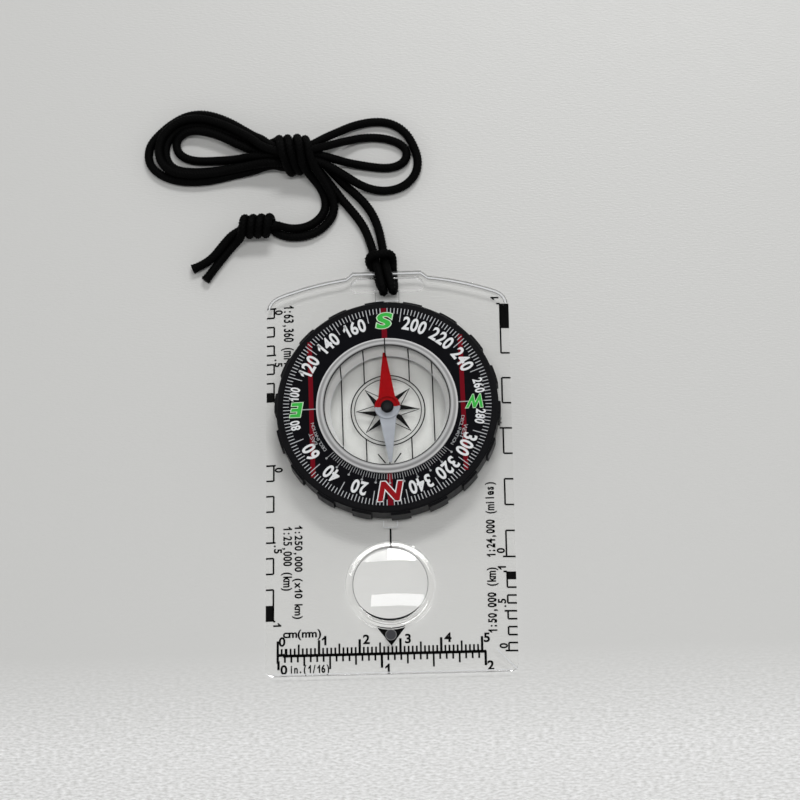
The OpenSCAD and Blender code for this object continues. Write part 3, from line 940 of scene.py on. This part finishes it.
# painted shade and highlight lines for the far wall of the plate, as it shows through: name,
# finish, (inset, width)
EDGE_LINES = (
    ("top_edge_painted_shade", EDGE_SHADE, ((0.33, 0.14), (1.05, 0.14))),
    ("top_edge_painted_highlight", WHITE_INK_AND_HIGHLIGHT, ((0.72, 0.34),)),
)
ARROW_BOSS = (0, -43.25)
FOOT_Z = 1.3
TAB_LINES = (
    ((-1.5, -14.1), (-1.5, -15.9), 0.25), ((-1.6, -15.85), (2.05, -15.85), 0.25),
    ((1.95, -15.9), (1.95, -14.1), 0.25),
)
CHANNEL_SIDES = -2.95, 3.05
LENS_R = 9.3
LENS_SHADE = 118, 242  # bearings of the ends of the painted shade crescent by the lens


def top_edge(inset):
    """Points along the plate's top edge, inset from it."""
    def bow(x):
        return x, BOW_TOP - BOW_RADIUS + math.sqrt((BOW_RADIUS - inset) ** 2 - x ** 2)

    right = [(PROUD_HALF, PLATE[1] - inset)]
    right += [bow(x) for x in np.linspace(BOW_FROM, BOW_TO, 20)]
    reach = SHOULDER_RADIUS - inset
    for angle in np.radians((68, 52, 36, 20, 5)):
        right.append((SHOULDER[0] + reach * math.cos(angle), SHOULDER[1] + reach * math.sin(angle)))
    return [(-x, y) for x, y in right[::-1]] + right


def print_plate():
    ink = Ink(PRINT_Z)
    print_ruler(ink)
    print_scale(ink, LEFT_SCALE, 43.95, -INCH)
    print_scale(ink, LEFT_SCALE, 1.63, -40.3)
    print_scale(ink, RIGHT_SCALE, -23.6, 67.1)
    print_scale(ink, RIGHT_SCALE, -47.45, 20.0)
    small = (
        ("0", -27.74, 42.84, READ_DOWN), (".5", -27.80, 29.23, READ_DOWN),
        ("0", -27.65, 0.41, READ_DOWN), (".5", -27.82, -20.08, READ_DOWN),
        ("1", -27.92, -39.60, READ_DOWN), ("1", 27.25, 44.92, READ_UP),
        (".5", 27.2, 12.0, READ_UP), ("0", 27.18, -22.09, READ_UP), ("1", 27.32, -26.51, READ_UP),
        (".5", 27.15, -35.61, READ_UP), ("0", 27.28, -46.23, READ_UP),
    )
    for text, x, y, turn in small:
        ink.words(text, (x, y), 1.95, 1.3, turn, weight=BOLD, fill=0.9)
    labels = (
        ("1:63,360 (miles)", -25.25, 34.6, READ_DOWN, 2.2, 1.28),
        ("1:250,000 (x10 km)", -22.84, -26.3, READ_DOWN, 1.85, 1.36),
        ("1:25,000 (km)", -25.45, -22.8, READ_DOWN, 1.85, 1.30),
        ("1:24,000 (miles)", 24.85, -14.0, READ_UP, 1.85, 1.24),
        ("1:50,000 (km)", 24.8, -34.65, READ_UP, 1.85, 1.31),
    )
    for text, x, y, turn, height, pitch in labels:
        ink.words(text, (x, y), height, pitch, turn, weight=BOLD)
    ink.bar((0.1, -15.75), (0.1, -20.7), LINE)
    ink.bar((0.1, 41.2), (0.1, 44.6), LINE)
    hollow = [(x, LENS[1] - math.sqrt(11.1 ** 2 - x ** 2)) for x in np.linspace(3.5, -3.5, 13)]
    ink.shape(hollow + [(0.03, -45.5)])
    ink.piece("plate_print", INK_BLACK, "base", "dial_print")


def draw_lines(name, finish, lines, height=ON_TOP):
    """A piece of straight lines on the plate, each a start, an end and a width."""
    ink = Ink(height)
    for line in lines:
        ink.bar(*line)
    ink.piece(name, finish, "base", "dial_print")


def draw_edges():
    """The bright and dark lines that the clear plate's own walls and steps show: painted highlights
    and painted shade.
    """
    # painted shade: a grey disc and a dark ring for the clear arrow boss
    boss = Ink(ON_TOP)
    boss.disc(ARROW_BOSS, 1.25, 32)
    boss.piece("arrow_boss", BOSS_SHADE, "base", "dial_print")
    boss = Ink(PLATE[2] - 0.002)
    boss.ring(1.3, 0.2, ARROW_BOSS, 48)
    boss.piece("arrow_boss_edge", EDGE_SHADE, "base", "dial_print")
    for name, finish, rows in EDGE_LINES:
        edges = [(top_edge(inset), width) for inset, width in rows]
        draw_lines(name, finish, [(start, end, width) for points, width in edges
                                  for start, end in zip(points, points[1:])])
    # painted highlight: a white line along the plate's foot edge
    draw_lines("foot_edge_highlight", WHITE_INK_AND_HIGHLIGHT, [((-29.3, -52.3), (29.3, -52.3), 0.2)], FOOT_Z)
    # painted glint: a white line down the mitre of the corner bevel
    crease_glint = Ink(ON_TOP)
    crease_glint.slope((25.8, -47.4), (30.6, -52.2), -1.3, 0.25)
    crease_glint.piece("bevel_corner_glint", WHITE_INK_AND_HIGHLIGHT, "base", "dial_print")
    # painted highlight round the tab's edges
    draw_lines("tab_outline_highlight", WHITE_INK_AND_HIGHLIGHT, TAB_LINES)
    # painted highlight at the channel's end, and painted shade along its sides
    draw_lines("channel_end_highlight", WHITE_INK_AND_HIGHLIGHT, [((-2.9, 44.4), (3.0, 44.4), 0.3)])
    draw_lines("channel_edge_shade", EDGE_SHADE, [((x, 42.2), (x, 47.2), 0.12) for x in CHANNEL_SIDES])
    # painted shade: a dark line in the gap round the lens insert
    gap = Ink(ON_TOP)
    gap.ring(LENS_R, 0.2, LENS[:2])
    gap.piece("lens_gap_shade", EDGE_SHADE, "base", "lens_acrylic")
    # painted shade: a dark crescent inside the lens's lower edge
    dark = Ink(ON_TOP, LENS)
    first, last = LENS_SHADE
    inner, outer = [], []
    for bearing in np.linspace(first, last, 32):
        depth = 0.55 * math.sin(math.radians((bearing - first) * 180 / (last - first)))
        inner.append(on_bearing(LENS_R - depth, bearing))
        outer.append(on_bearing(LENS_R + 0.06, bearing))
    dark.shape(outer[::-1] + inner)
    dark.piece("lens_painted_shade", DARK_GREY_AND_SHADE, "base", "lens_acrylic")


print_plate()
draw_edges()

# ---- the dial's printing

CAPSULE_R = 17.75  # inner edge of the graduated ring
SCALE_R = 26.1  # outer edge of its printing
CHORD_X = 19.0  # the two red lines that run beside the capsule
LEVEL = 0.008  # between two printings that lie on each other
SLANT = 0.2  # of the four letters
FLOOR_Z = 2.17  # just inside the capsule's floor
FLOOR_R = 14.6
ROSE_R = 9.3  # the ring round the rose
NEAR_LINE, FAR_LINE = 5.7, 11.5  # x of the north lines on the floor
PANE_Z = 9.0  # top of the lid's clear pane
WALL_TOP_R = 16.2  # how far out the lines on the capsule's sloping wall reach
WALL_STEEP = 2.7


def half_chord(radius, x):
    """How far up and down a circle about the dial's axis reaches at x."""
    return math.sqrt(radius ** 2 - x ** 2)


def print_dial():
    def on_face(level):
        return Ink(FACE_Z - 0.004 + level * LEVEL, DIAL, NORTH_TURN)

    levels = (0, 1, 1, 1, 1.5, 2, 2)
    red, tick, white, dim, mint, green, north = (on_face(level) for level in levels)
    for bearing in (0, 180):
        red.spoke(bearing, CAPSULE_R + 0.05, SCALE_R, 1.35)
    chord_end = half_chord(SCALE_R, CHORD_X)
    for side in (-1, 1):
        red.bar((side * CHORD_X, -chord_end), (side * CHORD_X, chord_end), 1.15)
    for bearing in range(0, 360, 2):
        if bearing % 180 == 0:
            continue
        if bearing % 20 == 10:
            inner = 22.5
        else:
            inner = 24.2 if bearing % 20 == 0 else 24.6
        tick.spoke(bearing, inner, SCALE_R, 0.2)
    for bearing in range(20, 360, 20):
        if bearing != 180:
            crowded = bearing in (80, 100, 260, 280)
            radius, height, pitch = (23.5, 2.3, 1.33) if crowded else (22.4, 3.35, 2.1)
            white.arc_words(str(bearing), radius, bearing, height, pitch, weight=BOLD)
    for bearing, outer in ((90, 21.3), (270, 24.4)):
        dim.spoke(bearing, CAPSULE_R + 0.05, outer, 0.25)
    for bearing in range(-50, 51, 2):
        dim.spoke(bearing, 17.9, 20.3 if bearing % 10 == 0 else 19.3, 0.12)
        if bearing % 10 == 0:
            dim.disc(on_bearing(20.3, bearing), 0.28)
    for side, name in ((67, "EAST"), (-67, "WEST")):
        dim.arc_words(name, 20.4, side, 1.0, 0.85, fill=0.9)
        dim.arc_words("DECLINATION", 19.2, side, 0.8, 0.72, fill=0.9)
    letters = (("N", 0, 22.4, 4.7, 3.4), ("S", 180, 22.7, 3.8, 3.6), ("E", 90, 22.8, 3.5, 2.5),
               ("W", 270, 22.1, 3.2, 1.65))
    for character, bearing, radius, height, width in letters:
        at = on_bearing(radius, bearing)
        under, over = (white, north) if character == "N" else (mint, green)
        under.letter(character, at, height, width, weight=0.07, slant=SLANT)
        over.letter(character, at, height, width, weight=0.035, slant=SLANT)
    red.piece("dial_red", INK_DARK_RED)
    tick.piece("dial_ticks", INK_TICK)
    white.piece("dial_white", WHITE_INK_AND_HIGHLIGHT)
    dim.piece("dial_fine_white", INK_DIM)
    mint.piece("dial_letter_edges", INK_MINT)
    green.piece("dial_green", INK_GREEN)
    north.piece("dial_north", INK_RED)


def print_capsule():
    ink = Ink(FLOOR_Z, DIAL, NORTH_TURN)
    for side in (-1, 1):
        end = half_chord(FLOOR_R, FAR_LINE)
        ink.bar((side * FAR_LINE, -end), (side * FAR_LINE, end), 0.3)
        start, end = half_chord(ROSE_R, NEAR_LINE), half_chord(FLOOR_R, NEAR_LINE)
        ink.bar((side * NEAR_LINE, start), (side * NEAR_LINE, end), 0.3)
        ink.bar((side * NEAR_LINE, -end), (side * NEAR_LINE, -start), 0.3)
        ink.bar((side * 1.1, 13.85), (side * 2.9, 11.4), 0.3)
    wall = Ink(FLOOR_Z + 0.12, DIAL, NORTH_TURN)
    for x in (-FAR_LINE, -NEAR_LINE, NEAR_LINE, FAR_LINE):
        for way in (-1, 1):
            start, end = (way * half_chord(r, x) for r in (FLOOR_R, WALL_TOP_R))
            wall.slope((x, start), (x, end), WALL_STEEP * (WALL_TOP_R - FLOOR_R), 0.3)
    wall.piece("wall_lines", INK_BLACK)
    ink.spoke(0, 13.1, FLOOR_R, 0.3)
    ink.spoke(180, 9.4, FLOOR_R, 0.3)
    ink.ring(ROSE_R, 0.3)
    # painted highlight: a thin white ring along the floor's edge
    rim = Ink(FLOOR_Z + 0.06, DIAL, NORTH_TURN)
    rim.ring(14.55, 0.16)
    rim.piece("floor_rim_highlight", WHITE_INK_AND_HIGHLIGHT)
    ink.ring(8.4, 0.22)
    tip, corner = 8.0, 3.6
    for bearing in range(0, 360, 45):
        ink.shape([(0, 0), on_bearing(tip, bearing), on_bearing(corner, bearing - 22.5)])
        ink.bar(on_bearing(corner, bearing + 22.5), on_bearing(tip, bearing), 0.2)
    ink.piece("capsule_print", INK_BLACK)
    mark = Ink(RIM_Z - 0.004, DIAL, NORTH_TURN)
    mark.spoke(180, WINDOW_R + 0.1, CAPSULE_R - 0.15, 0.3)
    mark.piece("rim_mark", INK_BLACK)
    mark = Ink(PANE_Z - 0.004, DIAL, NORTH_TURN)
    mark.spoke(180, 12.6, WINDOW_R - 0.1, 0.3)
    mark.piece("pane_mark", INK_BLACK)


print_dial()
print_capsule()

# ---- capsule's liquid


LIQUID_SIDES = 180
LIQUID_RINGS = ((14.66, 2.22), (16.36, 6.8), (16.36, 7.88))  # radius and height


def make_liquid():
    """The liquid fills the capsule. Its side lies on the frosted wall and takes the wall's look,
    painted shade and all.
    """
    sides, rings = LIQUID_SIDES, len(LIQUID_RINGS)
    corners = []
    for radius, height in LIQUID_RINGS:
        for i in range(sides):
            a = 2 * math.pi * i / sides
            corners.append((DIAL[0] + radius * math.cos(a), DIAL[1] + radius * math.sin(a), height))
    faces = [tuple(range(sides))[::-1], tuple(range((rings - 1) * sides, rings * sides))]
    for k in range(rings - 1):
        for i in range(sides):
            j = (i + 1) % sides
            a, b = k * sides, (k + 1) * sides
            faces.append((a + i, a + j, b + j, b + i))
    liquid = make_piece("capsule_liquid", corners, faces, LIQUID, "dial")
    # the liquid's side takes the wall's painted shade
    liquid.data.materials.append(SHADED_WALL.material)
    for face in liquid.data.polygons:
        face.material_index = int(abs(face.normal.z) < 0.9)


make_liquid()

# ---- floor and light


FLOOR_HALF, GROUND_Z = 3000, -0.03
SHINE_FROM, SHINE_TO = -0.046, -0.070  # in metres: the floor is palest in front of the ruler, with pale grain-shaped specks that are painted glints
LIGHT_AIM = (0, 20, 0)


def make_floor():
    made = Finish("floor", Specular_IOR_Level=0.4)
    tree = made.tree
    grain = noise(tree, 1.3, 2.0, (1, 3, 1))
    northing = add_node(tree, "SeparateXYZ", {0: object_place(tree)}).outputs[1]
    in_front = ramp(tree, northing, SHINE_FROM, SHINE_TO)
    # painted glints: pale specks in the floor's colour, in front of the ruler
    painted_glints = maths(tree, "MULTIPLY", in_front, ramp(tree, grain, 0.3, 0.75))
    made.set(
        Base_Color=two_colours(tree, painted_glints, (0.64, 0.64, 0.625), (1.0, 1.0, 1.0)),
        Roughness=spread(tree, noise(tree, 5), 0.34, 0.42),
        Normal=bump(tree, grain, 0.05),
    )
    signs = ((-1, -1), (1, -1), (1, 1), (-1, 1))
    corners = [(x * FLOOR_HALF, y * FLOOR_HALF, GROUND_Z) for x, y in signs]
    mesh = bpy.data.meshes.new("floor")
    mesh.from_pydata([tuple(c) for c in np.array(corners) * MM], [], [(0, 1, 2, 3)])
    mesh.materials.append(made.material)
    floor = bpy.data.objects.new("floor", mesh)
    bpy.context.scene.collection.objects.link(floor)


def make_light(name, place, size, power):
    """An oblong soft light. Its place and size are in millimetres and its power in watts."""
    data = bpy.data.lights.new(name, "AREA")
    data.shape = "RECTANGLE"
    data.size, data.size_y = size[0] * MM, size[1] * MM
    data.energy = power
    light = bpy.data.objects.new(name, data)
    bpy.context.scene.collection.objects.link(light)
    back = (Vector(place) - Vector(LIGHT_AIM)).normalized()
    up = back.cross(Vector((1, 0, 0))).normalized()
    pose = Matrix((up.cross(back), up, back)).transposed().to_4x4()
    pose.translation = Vector(place) * MM
    light.matrix_world = pose


def make_world():
    """A pale surround up to half height and a dark ceiling, so that flat faces don't wash out."""
    world = bpy.data.worlds.new("studio")
    world.use_nodes = True
    tree = world.node_tree
    direction = add_node(tree, "TexCoord").outputs["Generated"]
    height = add_node(tree, "SeparateXYZ", {0: direction}).outputs[2]
    upward = ramp(tree, height, 0.45, 0.78)
    colour = two_colours(tree, upward, (0.80, 0.80, 0.80), (0.03, 0.03, 0.03))
    tree.links.new(colour, tree.nodes["Background"].inputs["Color"])
    bpy.context.scene.world = world


make_floor()
make_light("overhead", (50, -35, 1000), (850, 190), 3.8)
make_light("key", (120, 714, 827), (420, 190), 3.7)
make_world()
bpy.context.scene.view_settings.view_transform = "Standard"
bpy.context.scene.cycles.transparent_max_bounces = 24
bpy.context.scene.cycles.caustics_refractive = False  # lights already reach through clear parts
bpy.context.scene.cycles.caustics_reflective = False
